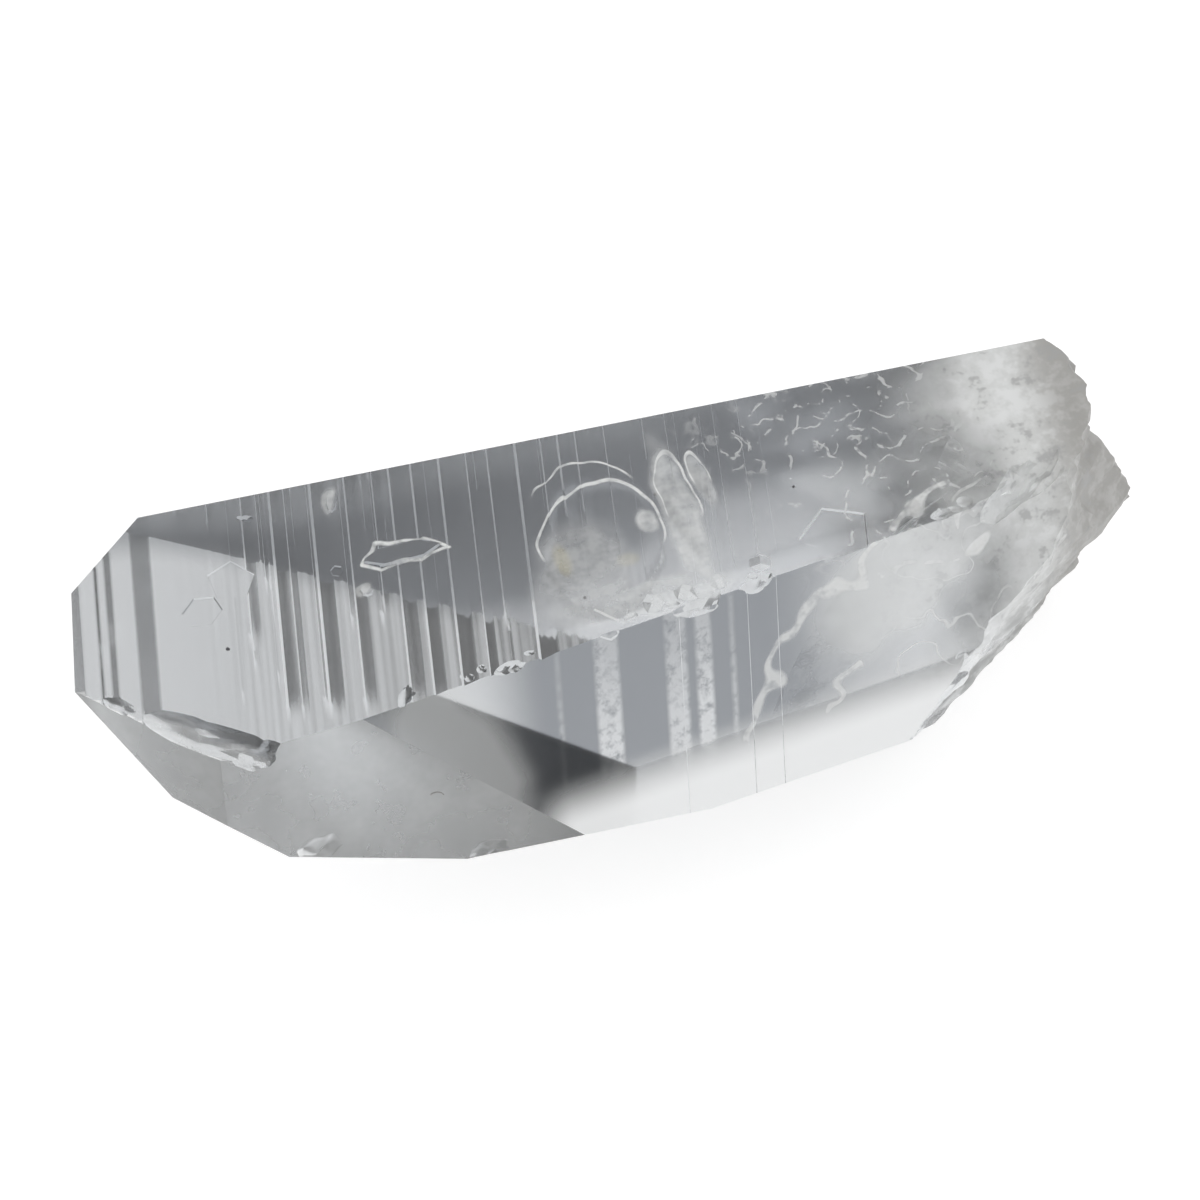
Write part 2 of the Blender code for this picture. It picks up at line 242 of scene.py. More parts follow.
# Flat-topped small crystals: centre, length, width, sides, turn, height
PLATE_CRYSTALS = {
    "double_pointed_crystal": ((-15.8, -6.8), 6.3, 2.1, 6, 3.0, 0.30),
    "round_crystal_a": ((-19.8, -1.6), 1.3, 2.3, 9, -12.0, 0.22),
    "round_crystal_b": ((-18.8, -9.3), 1.3, 1.5, 8, 40.0, 0.24),
}
PLATE_BEVEL = 0.3
CRYSTAL_SIDES = 6
CRYSTAL_TIP_SHARE = 0.55

# Fine ladder marks: lines to the millimetre, their stretch across the face, and their share
MARK_LAYERS = ((0.45, 0.05, 1.0), (2.2, 0.03, 0.5))
# Share of the marks that is left at the crystal's ends
MARKS_LEFT = 0.1
# Noise: lumps to the millimetre, octaves, how rough it is, and its offset
GRAINS = {
    "cloudy": (0.9, 2.0, 0.55, 0.0),
    "bend": (0.28, 1.0, 0.5, 2.0),
    "wisps": (0.3, 1.5, 0.5, 0.0),
    "fine_wisps": (0.55, 1.5, 0.5, 5.0),
    "side_frost": (0.25, 3.0, 0.6, 9.0),
    "cracks": (0.8, 2.0, 0.6, 12.0),
    "bar_specks": (1.1, 3.0, 0.7, 14.0),
    "mottle": (0.55, 3.0, 0.7, 6.0),
    "root_cloud": (0.12, 2.0, 0.55, 0.0),
    "front_relief": (0.6, 2.0, 0.55, 0.0),
    "break_relief": (0.7, 2.0, 0.65, 0.0),
    "veil": (0.35, 4.0, 0.6, 0.0),
}
# Where a shader field climbs from 0 to 1: along the crystal or up it in millimetres, or over another field
STEPS = {
    "marks_start": (-31.0, -24.0),
    "marks_end": (4.0, 16.0),
    "rim": (0.4, 1.0),
    "off_face": (0.3, 0.6),
    "wisps": (0.7, 0.9),
    "fine_wisps": (0.75, 0.95),
    "near_root": (2.0, 12.0),
    "cracks": (0.3, 0.6),
    "shade_edge": (-1.2, 1.6),
    "front_shade_start": (-14.0, -8.0),
    "front_shade_end": (8.0, 22.0),
    "bar_specks": (0.25, 0.6),
    "bar_height": (17.0, 26.5),
    "milk_shade_height": (8.0, 20.0),
    "root_end": (29.0, 33.5),
    "mottle": (14.0, 26.0),
    "pale": (0.46, 0.64),
    "dim": (0.34, 0.46),
    "root_cloud": (19.0, 31.0),
    "break_relief": (18.0, 32.0),
    "veil_start": (0.0, 0.12),
    "veil_end": (0.85, 1.0),
    "veil_depth": (0.3, 1.0),
    "veil_streaks": (0.42, 0.68),
    "veil_clouds": (0.35, 0.7),
    "veil_rim": (0.02, 0.07),
    "sky": (0.3, 0.75),
}
# Frosted patches on the top face: centre, radii, turn and strength
HAZE_PATCHES = (
    ((4.1, -8.0), (1.3, 6.0), 5.0, 0.55),
    ((6.3, -5.6), (0.7, 2.2), 12.0, 0.5),
    ((-3.6, -11.5), (3.2, 4.2), -20.0, 0.35),
    ((1.5, -14.2), (5.5, 1.3), 4.0, 0.4),
    ((1.5, -7.9), (0.7, 0.9), 0.0, 0.7),
    ((-33.4, -17.6), (3.6, 0.9), -36.0, 0.3),
    ((-29.8, -20.2), (3.4, 1.1), -26.0, 0.3),
    ((-19.8, -1.6), (0.6, 1.1), -12.0, 0.5),
    ((-18.8, -9.3), (0.6, 0.7), 0.0, 0.5),
)
# The same on the front face
FRONT_PATCHES = (
    ((24.6, -13.5), (1.3, 0.5), 12.0, 0.8),
    ((19.0, -14.6), (7.0, 2.0), 18.0, 0.45),
    ((-15.0, -21.6), (5.0, 3.4), -22.0, 0.35),
)
# The top's material reaches down to this height
TOP_REACH = HEIGHT - 3.2
# How well a mesh face has to fit a natural face to count as part of it: turn, and distance in millimetres
FRONT_FIT = (0.95, 0.3)
TIP_FIT = 0.1
# Bump depths in metres: the unevenness of the front face, and the grain of the break
FACE_RELIEF = 0.000002
BREAK_RELIEF = 0.0001
# The milky surface: how rough it is, and the share of light that still goes through
MILK_ROUGHNESS = 0.5
MILK_THROUGH = 0.15
# Painted shade: low on the crystal the milky colour drops to this share
LOW_MILK_SHADE = 0.6
# The cloud at the root: how far its edge wanders in millimetres, and its strength
CLOUD_WANDER = 16.0
CLOUD_STRENGTH = 0.85
CLOUD_GAIN = 1.6
# Bright rims of growth arches on the top face: centre, radii, turn, width and low end
ARCHES = (
    ((-1.7, -9.3), (4.2, 5.5), -10.0, 0.16, -10.5),
    ((-2.6, -7.4), (4.6, 5.4), -10.0, 0.10, -4.6),
    ((4.3, -6.8), (1.2, 4.2), 5.0, 0.12, -9.0),
    ((6.3, -5.3), (0.6, 2.1), 12.0, 0.10, -6.8),
)
ARCH_STRENGTH = 0.9
ARCH_FADE = 1.5
PATCH_FADE = 0.3
WISP_STRENGTH = 0.5
WISP_WIDTH = 0.018
FINE_WISP_WIDTH = 0.03
FINE_WISP_FADE = 0.5
# How far patches, rims and cracks are bent out of their plain shapes, in millimetres
BEND = 2.2
ROOT_LEAN = 0.5
# Bright ladder bars on the front face, where its painted shade is lifted, standing in for light that the
# ledges let through: start and end along the ladder direction, and strength
FRONT_BARS = (
    (-2.4, -0.7, 1.0),
    (-1.9, -1.7, 0.4),
    (2.7, 4.2, 0.8),
    (4.9, 6.0, 1.0),
    (7.4, 7.7, 0.5),
    (-5.2, -4.9, 0.4),
)
BAR_EDGE = 0.22
BAR_GAIN = 1.15
BAR_LOSS = 0.7
# Lower edge of the painted shade on the top face, and how strong that painted shade is
LIGHT_EDGE = (
    (-42.0, -1.4),
    (-33.3, -2.6),
    (-26.4, -5.4),
    (-21.3, -8.6),
    (-12.2, -13.1),
    (-5.7, -12.9),
    (0.4, -10.6),
    (5.7, -7.1),
    (17.3, -7.1),
    (26.0, -4.0),
)
TOP_SHADE = 0.85
SHADE_OVERLAP = 1.0
# Share of a line's width that stays full, and the share of a crack that its noise can take away
LINE_CORE = 0.3
CRACK_BREAKS = 0.6
# Lines where fractures reach the surface, seen from above: places, width and strength
CRACKS = {
    "top": (
        (((23.0, -9.6), (21.1, -10.8), (18.6, -12.4)), 0.45, 0.8),
        (((22.8, -11.3), (26.1, -9.8)), 0.22, 0.6),
        (
            (
                (-18.95, -6.9),
                (-17.3, -5.85),
                (-14.2, -5.75),
                (-12.7, -6.7),
                (-14.3, -7.75),
                (-17.4, -7.85),
                (-18.95, -6.9),
            ),
            0.2,
            1.0,
        ),
        (((-3.7, -14.1), (-1.9, -15.6), (-0.9, -15.2)), 0.16, 0.7),
    ),
    "front": (
        (((18.6, -12.4), (15.7, -14.7), (12.9, -15.5)), 0.45, 0.8),
        (((12.9, -15.5), (10.4, -16.6), (7.8, -19.0), (5.6, -22.2)), 0.40, 0.7),
        (((23.0, -12.5), (27.4, -10.5)), 0.30, 0.7),
        (((17.0, -14.6), (25.7, -13.6)), 0.18, 0.6),
        (((-5.0, -24.4), (5.4, -23.0), (12.5, -20.7), (14.8, -17.9)), 0.22, 0.7),
    ),
}
# Where the finest curly wisps lie: centre, radii, turn
FINE_WISPS = ((15.0, -2.5), (9.0, 3.0), 6.0)
# Milky near-white lower band of the front face, a painted highlight standing in for the bright light it
# reflects: heights over which it fades out, places along X where it starts
FRONT_BAND_HEIGHT = (14.0, 18.0)
FRONT_BAND_START = (-11.0, -7.0)
FRONT_BAND_HIGHLIGHT = 0.95
BAND_HIGHLIGHT_COLOR = (0.96, 0.97, 0.97, 1.0)
# Frost on the side face and the tip face: its strength, and how it varies
SIDE_FROST = 0.3
SIDE_FROST_RISE = 0.8
SIDE_FROST_BASE = 0.6
# White and grey mottling of the root
MOTTLE = 0.7
PALE_LOSS = 0.75
MOTTLE_COLOR = (0.93, 0.94, 0.94, 1.0)
DIM_COLOR = (0.42, 0.42, 0.42, 1.0)
# Coloured spots in the quartz: centre, radii, turn, colour
STAINS = (
    ((-4.9, -9.9), (0.55, 1.2), 6.0, (0.80, 0.66, 0.30, 1.0)),
    ((-0.4, -10.8), (0.8, 0.5), 0.0, (0.84, 0.80, 0.62, 1.0)),
)
STAIN_FADE = 0.4

# Fracture veils inside the root: the line where each starts, the way it runs, and its strength
VEILS = {
    "veil_main": (
        ((22.7, -10.3, 26.0), (17.3, -13.2, 25.9), (11.2, -16.6, 20.8), (5.8, -21.8, 12.6)),
        (7.0, 5.0, -6.0),
        0.55,
    ),
    "veil_high": (
        ((27.4, -10.6, 25.8), (24.8, -11.8, 25.6), (22.4, -13.4, 24.0)),
        (3.6, 1.6, -5.0),
        0.5,
    ),
    "veil_low": (
        ((25.7, -13.2, 22.6), (21.0, -14.3, 22.6), (16.8, -15.2, 22.8)),
        (1.0, 3.6, -3.0),
        0.4,
    ),
    "veil_back": (
        ((29.6, -2.0, 25.6), (25.2, -4.6, 25.4), (22.6, -8.0, 25.6)),
        (5.0, -1.5, -7.0),
        0.4,
    ),
}
VEIL_COLUMNS = 60
VEIL_ROWS = 30
VEIL_WAVE = 0.9
VEIL_WAVE_GRAIN = 0.3
VEIL_COLOR = (0.95, 0.96, 0.96, 1.0)
VEIL_ROUGHNESS = 0.5
# Painted light: the veils glow faintly, standing in for the light they catch inside the quartz
VEIL_PAINTED_GLOW = 0.2
# Cover of a veil: streaks along it and across it, their octaves and roughness, and the share of each part
VEIL_STREAKS = (26.0, 2.5)
VEIL_DETAIL = (4.0, 0.6)
VEIL_STREAK_SHARE = 0.7
VEIL_CLOUD_SHARE = 0.5
VEIL_RIM_SHARE = 0.8
# Dark specks in the quartz: centre and radius
SPECKS = (
    ((29.4, -7.3, 26.1), 0.14),
    ((2.7, -5.9, 26.35), 0.13),
    ((-4.0, -13.1, 26.35), 0.13),
    ((-29.1, -11.7, 26.3), 0.15),
    ((12.5, -7.0, 25.2), 0.10),
    ((-9.5, -12.2, 25.0), 0.08),
)
SPECK_SEED = 5
SPECK_UNEVEN = (0.6, 1.2)
SPECK_COLOR = (0.05, 0.045, 0.06, 1.0)
SPECK_ROUGHNESS = 0.6
# The dust fibre on the side face: middle, radius, length, where it bends, how much, and its turn
FIBRE_MIDDLE = (-16.6, -22.4, 19.8)
FIBRE_RADIUS = 0.035
FIBRE_LENGTH = 1.0
FIBRE_SIDES = 8
FIBRE_CUTS = (-0.3, -0.1, 0.1, 0.3)
FIBRE_BEND = 0.8
FIBRE_TURN = 70.0
DUST_COLOR = (0.25, 0.24, 0.23, 1.0)
DUST_ROUGHNESS = 0.8

# The stage: light bounces, the camera's aim in the layout frame, and sizes in metres
BOUNCES = 6
CAMERA_AIM = (0.0, 0.0, 2.5)
SENSOR_WIDTH = 36.0
NEAREST_SEEN = 0.01
FLOOR_SIZE = 3.0
FLOOR_ROUGHNESS = 0.9
WHITE = (1.0, 1.0, 1.0, 1.0)
CARD_WIDTH = 0.5
CARD_HEIGHT = 0.05
# The sky gets this much brighter between the camera side and the sides, at this place on its ramp
SKY_RISE = 1.3
SKY_RISE_AT = 0.25

# Shading of the body: an edge stays sharp past this angle, or where a face is larger than this
SHARP_ANGLE = math.radians(24.0)
FLAT_FACE_AREA = 1.2e-6


def color_setting(name, description, default):
    return FloatVectorProperty(
        name=name, description=description, subtype="COLOR", size=4, default=default
    )


class BodySettings(bpy.types.PropertyGroup):
    color: color_setting(
        "Quartz colour", "Colour that the clear quartz gives to light", (0.95, 0.965, 0.975, 1.0)
    )
    ior: FloatProperty(name="IOR", description="Index of refraction of quartz", default=1.55)
    roughness: FloatProperty(name="Roughness", description="Roughness of a clean face", default=0.09)
    frost: FloatProperty(name="Frost", description="Roughness of the frosted side faces", default=0.16)
    depth_color: color_setting(
        "Depth colour", "Colour that light keeps on its way through the quartz", (0.30, 0.33, 0.37, 1.0)
    )
    depth_loss: FloatProperty(
        name="Depth loss", description="Absorption in each metre of quartz", default=9.0
    )
    mark_depth: FloatProperty(
        name="Mark depth", description="Depth of the fine ladder marks in metres", default=0.00004
    )
    cloud_color: color_setting(
        "Cloud colour", "Colour of the milky root", (0.78, 0.79, 0.78, 1.0)
    )
    # Painted shade: the clear tint of the top and front faces turns to this colour where they are meant to
    # look dark
    shade_color: color_setting(
        "Shade colour", "Colour of the dark parts of the top and front faces", (0.22, 0.235, 0.26, 1.0)
    )
    root_color: color_setting(
        "Root colour", "Colour of the far end of the root", (0.42, 0.41, 0.39, 1.0)
    )


class StageSettings(bpy.types.PropertyGroup):
    azimuth: FloatProperty(
        name="Azimuth",
        description="Turn of the camera about the vertical",
        subtype="ANGLE",
        default=math.radians(-12.536),
    )
    elevation: FloatProperty(
        name="Elevation",
        description="Height of the camera above the horizon",
        subtype="ANGLE",
        default=math.radians(60.0),
    )
    lens: FloatProperty(name="Lens", description="Focal length in millimetres", default=150.0)
    distance: FloatProperty(
        name="Distance",
        description="From the point looked at to the camera",
        unit="LENGTH",
        default=0.37708,
    )
    sky_up: FloatProperty(name="Light above", description="Strength of the light above", default=1.15)
    sky_front: FloatProperty(name="Light in front", description="Strength on the camera side", default=0.75)
    sky_side: FloatProperty(name="Light beside", description="Strength at both ends", default=0.45)
    sky_back: FloatProperty(name="Light behind", description="Strength behind", default=0.45)
    floor_color: color_setting(
        "Floor colour", "Colour of the floor", (0.45, 0.45, 0.45, 1.0)
    )
    floor_glow: FloatProperty(
        name="Floor glow", description="Light that the pale floor gives", default=0.7
    )
    card_color: color_setting(
        "Card colour", "Colour of the dark card on the camera side", (0.3, 0.3, 0.31, 1.0)
    )
    card_distance: FloatProperty(
        name="Card distance",
        description="From the crystal's middle to the dark card",
        unit="LENGTH",
        default=0.15,
    )
    floor_gap: FloatProperty(
        name="Floor gap",
        description="Gap below the crystal, which keeps the two surfaces apart",
        unit="LENGTH",
        default=0.00015,
    )


class Wire:
    """A number socket in a node tree. An expression on it adds the Math nodes."""

    def __init__(self, tree, socket):
        self.tree = tree
        self.socket = socket

    def math(self, operation, *values, clamp=False):
        settings = {"operation": operation, "use_clamp": clamp}
        return self.tree.node("ShaderNodeMath", settings, dict(enumerate(values)))

    def __add__(self, other):
        return self.math("ADD", self, other)

    __radd__ = __add__

    def __sub__(self, other):
        return self.math("SUBTRACT", self, other)

    def __rsub__(self, other):
        return self.math("SUBTRACT", other, self)

    def __mul__(self, other):
        return self.math("MULTIPLY", self, other)

    __rmul__ = __mul__

    def __truediv__(self, other):
        return self.math("DIVIDE", self, other)

    def __pow__(self, other):
        return self.math("POWER", self, other)

    def most(self, other):
        return self.math("MAXIMUM", self, other)

    def clamp(self):
        return self.math("ADD", self, 0.0, clamp=True)

    def size(self):
        return self.math("ABSOLUTE", self)

    def step(self, low, high):
        """0 below low, 1 above high, and a soft climb between them."""
        settings = {"interpolation_type": "SMOOTHSTEP"}
        return self.tree.node("ShaderNodeMapRange", settings, {0: self, 1: low, 2: high})


class NodeTree:
    """The nodes of a material or a world."""

    def __init__(self, owner):
        owner.use_nodes = True
        self.tree = owner.node_tree
        self.tree.nodes.clear()

    def node(self, kind, settings=None, inputs=None, output=0):
        """Adds a node, sets it up, fills its sockets with values or wires, and gives one output."""
        made = self.tree.nodes.new(kind)
        for name, value in (settings or {}).items():
            if name == "stops":
                self.fill_ramp(made.color_ramp, value)
            else:
                setattr(made, name, value)
        for key, value in (inputs or {}).items():
            if isinstance(value, Wire):
                self.tree.links.new(value.socket, made.inputs[key])
            else:
                made.inputs[key].default_value = value
        return Wire(self, made.outputs[output]) if made.outputs else made

    def fill_ramp(self, ramp, stops):
        while len(ramp.elements) < len(stops):
            ramp.elements.new(1.0)
        for element, (position, value) in zip(ramp.elements, stops):
            element.position = position
            element.color = (value, value, value, 1.0)

    def layout_place(self):
        """Wires that give x, y and z of the surface in the layout frame, in millimetres."""
        spot = self.node("ShaderNodeTexCoord", output="Object")
        wires = []
        for axis, middle in zip("XYZ", LAYOUT_MIDDLE):
            wires.append(self.node("ShaderNodeSeparateXYZ", None, {0: spot}, axis) * (1.0 / MM) + middle)
        return wires

    def grain(self, name):
        """Fractal noise from 0 to 1 over the object."""
        scale, detail, roughness, offset = GRAINS[name]
        spot = self.node("ShaderNodeTexCoord", output="Object")
        shifted = self.node("ShaderNodeVectorMath", {"operation": "ADD"}, {0: spot, 1: (offset,) * 3})
        values = {"Vector": shifted, "Scale": scale / MM, "Detail": detail, "Roughness": roughness}
        return self.node("ShaderNodeTexNoise", None, values, "Fac")

    def mix_color(self, factor, first, second):
        values = {"Factor": factor, 6: first, 7: second}
        return self.node("ShaderNodeMix", {"data_type": "RGBA"}, values, 2)


def direction(compass, rise):
    """The unit vector at a compass angle from +X and a rise above the level, in degrees."""
    turn = math.radians(compass)
    climb = math.radians(rise)
    level = math.cos(climb)
    return Vector((level * math.cos(turn), level * math.sin(turn), math.sin(climb)))


def at(x, y, z):
    """A layout place in millimetres as metres in the shared frame."""
    return (Vector((x, y, z)) - LAYOUT_MIDDLE) * MM


def deselect_all():
    if bpy.context.object and bpy.context.object.mode != "OBJECT":
        bpy.ops.object.mode_set(mode="OBJECT")
    bpy.ops.object.select_all(action="DESELECT")


def edit_all():
    bpy.ops.object.mode_set(mode="EDIT")
    bpy.ops.mesh.select_all(action="SELECT")


def add_shape(name, kind, **settings):
    """Adds a mesh primitive and gives it a name."""
    deselect_all()
    getattr(bpy.ops.mesh, f"primitive_{kind}_add")(**settings)
    shape = bpy.context.object
    shape.name = name
    return shape


def points_of(obj):
    points = np.empty(len(obj.data.vertices) * 3)
    obj.data.vertices.foreach_get("co", points)
    return points.reshape(-1, 3)


def move_points(obj, points):
    obj.data.vertices.foreach_set("co", np.asarray(points, float).reshape(-1))
    obj.data.update()


def combine(body, tool, operation):
    """Cuts a helper shape out of the body, or joins it on, and removes the helper."""
    deselect_all()
    body.select_set(True)
    bpy.context.view_layer.objects.active = body
    step = body.modifiers.new(tool.name, "BOOLEAN")
    step.operation = operation
    step.solver = "EXACT"
    step.object = tool
    bpy.ops.object.modifier_apply(modifier=step.name)
    bpy.data.objects.remove(tool)


def plain_body():
    """A block cut by the natural faces."""
    body = add_shape("quartz_crystal", "cube", size=BLANK_SIZE * MM, location=at(0.0, 0.0, 0.0))
    bpy.ops.object.transform_apply(location=True, rotation=True, scale=True)
    bpy.ops.object.mode_set(mode="EDIT")
    for compass, rise, distance in PLAIN_FACES:
        normal = direction(compass, rise)
        bpy.ops.mesh.select_all(action="SELECT")
        bpy.ops.mesh.bisect(
            plane_co=at(*(normal * distance)), plane_no=normal, use_fill=True, clear_outer=True
        )
    bpy.ops.object.mode_set(mode="OBJECT")
    return body


def sheet_grid(name, columns, rows):
    """A flat grid object, with each point's column and row."""
    sheet = add_shape(name, "grid", x_subdivisions=columns - 1, y_subdivisions=rows - 1, size=1.0)
    flat = points_of(sheet) + 0.5
    column = np.rint(flat[:, 0] * (columns - 1)).astype(int)
    row = np.rint(flat[:, 1] * (rows - 1)).astype(int)
    return sheet, column, row


def turned(place, turn):
    """The move of a helper shape to its place, turned about the vertical by an angle in degrees."""
    return Matrix.Translation(place) @ Matrix.Rotation(math.radians(turn), 4, "Z")


def thicken(sheet, way):
    """Extrudes a sheet along one vector and closes it, so that it can cut."""
    edit_all()
    bpy.ops.mesh.extrude_region_move(TRANSFORM_OT_translate={"value": way})
    bpy.ops.mesh.select_all(action="SELECT")
    bpy.ops.mesh.normals_make_consistent(inside=False)
    bpy.ops.object.mode_set(mode="OBJECT")


def window(values, low, high, soft):
    """1 between low and high, fading to 0 over soft on both sides."""
    climb = np.clip((values - low) / soft + 0.5, 0.0, 1.0)
    fall = np.clip((high - values) / soft + 0.5, 0.0, 1.0)
    return climb * fall


def ledge_depth(s, t, ledges):
    """How far saw-toothed ledges dip below a face, at distances along and across it."""
    depth = np.zeros_like(s)
    for start, width, deep, low, high in ledges:
        run = deep * RISER_RUN
        fall = np.clip((s - start) / run, 0.0, 1.0)
        climb = np.clip((start + width - s) / (width - run), 0.0, 1.0)
        depth = np.maximum(depth, deep * np.minimum(fall, climb) * window(t, low, high, LEDGE_FADE))
    return depth


def ledge_stations(ledges, low, high, spacing):
    """Grid lines along a face: even ones, and one at each corner of a ledge."""
    marks = list(np.arange(low, high, spacing))
    for start, width, deep, *_ in ledges:
        marks.extend((start, start + deep * RISER_RUN, start + width))
    marks = np.array(sorted(marks))
    return marks[np.append(True, np.diff(marks) > LEAST_GAP)]


def fine_ledges():
    """Hair-fine ladder marks of random place, width and reach."""
    dice = random.Random(FINE_SEED)
    marks = []
    for _ in range(FINE_LEDGES):
        start = dice.uniform(*FINE_SPAN)
        width = dice.uniform(*FINE_WIDTH)
        low = dice.uniform(*FINE_LOW)
        high = dice.uniform(max(low + FINE_LEAST_REACH, FINE_HIGH[0]), FINE_HIGH[1])
        marks.append((start, width, width * dice.uniform(*FINE_STEEPNESS), low, high))
    return tuple(marks)


def relief_cutter(name, face, stations, rows, height_at):
    """All that lies above a marked natural face."""
    normal = direction(*face[:2])
    across = normal.cross(direction(LADDER_TURN, 0.0)).normalized()
    along = across.cross(normal)
    sheet, column, row = sheet_grid(name, len(stations), len(rows))
    s = np.asarray(stations)[column]
    t = np.asarray(rows)[row]
    height = height_at(s, t)
    places = np.outer(height + face[2], normal) + np.outer(s, along) + np.outer(t, across)
    move_points(sheet, (places - np.array(LAYOUT_MIDDLE)) * MM)
    thicken(sheet, normal * RELIEF_DEPTH * MM)
    return sheet


def hill_height(s, t):
    """Height of the low growth hills over the top face."""
    turn = math.radians(LADDER_TURN)
    x = s * math.cos(turn) - t * math.sin(turn)
    y = s * math.sin(turn) + t * math.cos(turn)
    height = np.zeros_like(s)
    for (hill_x, hill_y), (long, wide, tall), angle, slope in HILLS:
        lie = math.radians(angle)
        u = ((x - hill_x) * math.cos(lie) + (y - hill_y) * math.sin(lie)) / long
        v = ((y - hill_y) * math.cos(lie) - (x - hill_x) * math.sin(lie)) / wide
        uneven = np.array([noise.noise(Vector((*place, hill_x)) * HILL_GRAIN) for place in zip(x, y)])
        reach = np.hypot(u, v) * (1.0 + HILL_UNEVEN * uneven)
        height = np.maximum(height, tall * np.clip((1.0 - reach) / slope, 0.0, 1.0))
    return height


def top_height(s, t):
    """Height of the top face over its level: tip risers, ledges and hills."""
    height = np.zeros_like(s)
    for start, end, rise in TIP_RISERS:
        height -= rise * np.clip((end - s) / (end - start), 0.0, 1.0)
    height -= ledge_depth(s, t, TOP_LEDGES + fine_ledges())
    return height + hill_height(s, t)


def mark_top(body):
    ledges = TOP_LEDGES + fine_ledges() + tuple((start, end - start, 0.0) for start, end, _ in TIP_RISERS)
    stations = ledge_stations(ledges, *RELIEF_SPAN, TOP_SPACING[0])
    rows = np.arange(*TOP_SPAN, TOP_SPACING[1])
    combine(body, relief_cutter("top_relief", TOP_FACE, stations, rows, top_height), "DIFFERENCE")


def mark_front(body):
    stations = ledge_stations(FRONT_LEDGES, *RELIEF_SPAN, FRONT_SPACING[0])
    rows = np.arange(*FRONT_SPAN, FRONT_SPACING[1])

    def height_at(s, t):
        return LEAST_GAP - ledge_depth(s, t, FRONT_LEDGES)

    combine(body, relief_cutter("front_relief", FRONT_FACE, stations, rows, height_at), "DIFFERENCE")


def break_reach(y, z):
    """How far along X the broken root reaches at one place across the crystal."""
    reach = min(
        start + y_slope * (y - y_at) + z_slope * (z - z_at)
        for start, y_slope, y_at, z_slope, z_at in BREAK_PLANES
    )
    for shell_y, shell_z, radius, depth in BREAK_SHELLS:
        off = math.hypot(y - shell_y, z - shell_z) / radius
        reach -= depth * max(0.0, 1.0 - off * off)
    for rise, grain, octaves in BREAK_LAYERS:
        place = Vector((BREAK_SLICE, y * grain, z * grain))
        reach += rise * noise.fractal(place, BREAK_FADE, FINER, octaves)
    return reach


def break_root(body):
    sheet, column, row = sheet_grid("root_break", BREAK_STEPS_Y, BREAK_STEPS_Z)
    y = np.linspace(*BREAK_SPAN_Y, BREAK_STEPS_Y)[column]
    z = np.linspace(*BREAK_SPAN_Z, BREAK_STEPS_Z)[row]
    reach = [break_reach(*place) for place in zip(y, z)]
    places = np.stack([reach, y, z], axis=1)
    move_points(sheet, (places - np.array(LAYOUT_MIDDLE)) * MM)
    thicken(sheet, (BLANK_SIZE * MM, 0.0, 0.0))
    combine(body, sheet, "DIFFERENCE")


def chip_ball(name, centre, radii, turn, unevenness, fineness=4):
    """A stretched, uneven ball with shell-like ripples."""
    ball = add_shape(name, "ico_sphere", subdivisions=fineness, radius=1.0)
    points = points_of(ball)
    deep, rings, aside = RIPPLE
    ripple = deep * np.sin(np.hypot(points[:, 0] - aside, points[:, 1]) * rings)
    places = [Vector(point) * CHIP_GRAIN + Vector(centre) for point in points]
    uneven = np.array([noise.fractal(place, CHIP_FADE, FINER, CHIP_OCTAVES) for place in places])
    points *= (1.0 + ripple + unevenness * uneven)[:, None]
    move_points(ball, points)
    ball.data.transform(turned(at(*centre), turn) @ Matrix.Diagonal((*(Vector(radii) * MM), 1.0)))
    return ball


def ridge_nicks():
    """Small random chips along the ridge between the top face and the front face."""
    dice = random.Random(RIDGE_NICK_SEED)
    nicks = []
    for _ in range(RIDGE_NICKS):
        x = dice.uniform(*RIDGE_NICK_SPAN)
        size = dice.uniform(*NICK_SIZE)
        y = RIDGE_LINE[0] + RIDGE_LINE[1] * x + dice.uniform(*NICK_OFF_RIDGE)
        centre = (x, y, HEIGHT + size * dice.uniform(*NICK_LIFT))
        radii = (size * dice.uniform(*NICK_STRETCH), size, size * NICK_HEIGHT)
        nicks.append((centre, radii, dice.uniform(*NICK_TURN), NICK_UNEVEN, NICK_FINENESS))
    return nicks


def key_block(name, spot, radius, sides, stretch, turn):
    """A flat-floored pocket that another crystal left as it was pulled off the top face."""
    wide = radius * KEY_FLARE * MM
    block = add_shape(
        name, "cone", vertices=sides, radius1=radius * MM, radius2=wide, depth=KEY_HEADROOM * MM
    )
    middle = at(*spot, HEIGHT - KEY_DEPTH + KEY_HEADROOM / 2)
    block.data.transform(turned(middle, turn) @ Matrix.Diagonal((stretch, 1.0, 1.0, 1.0)))
    return block


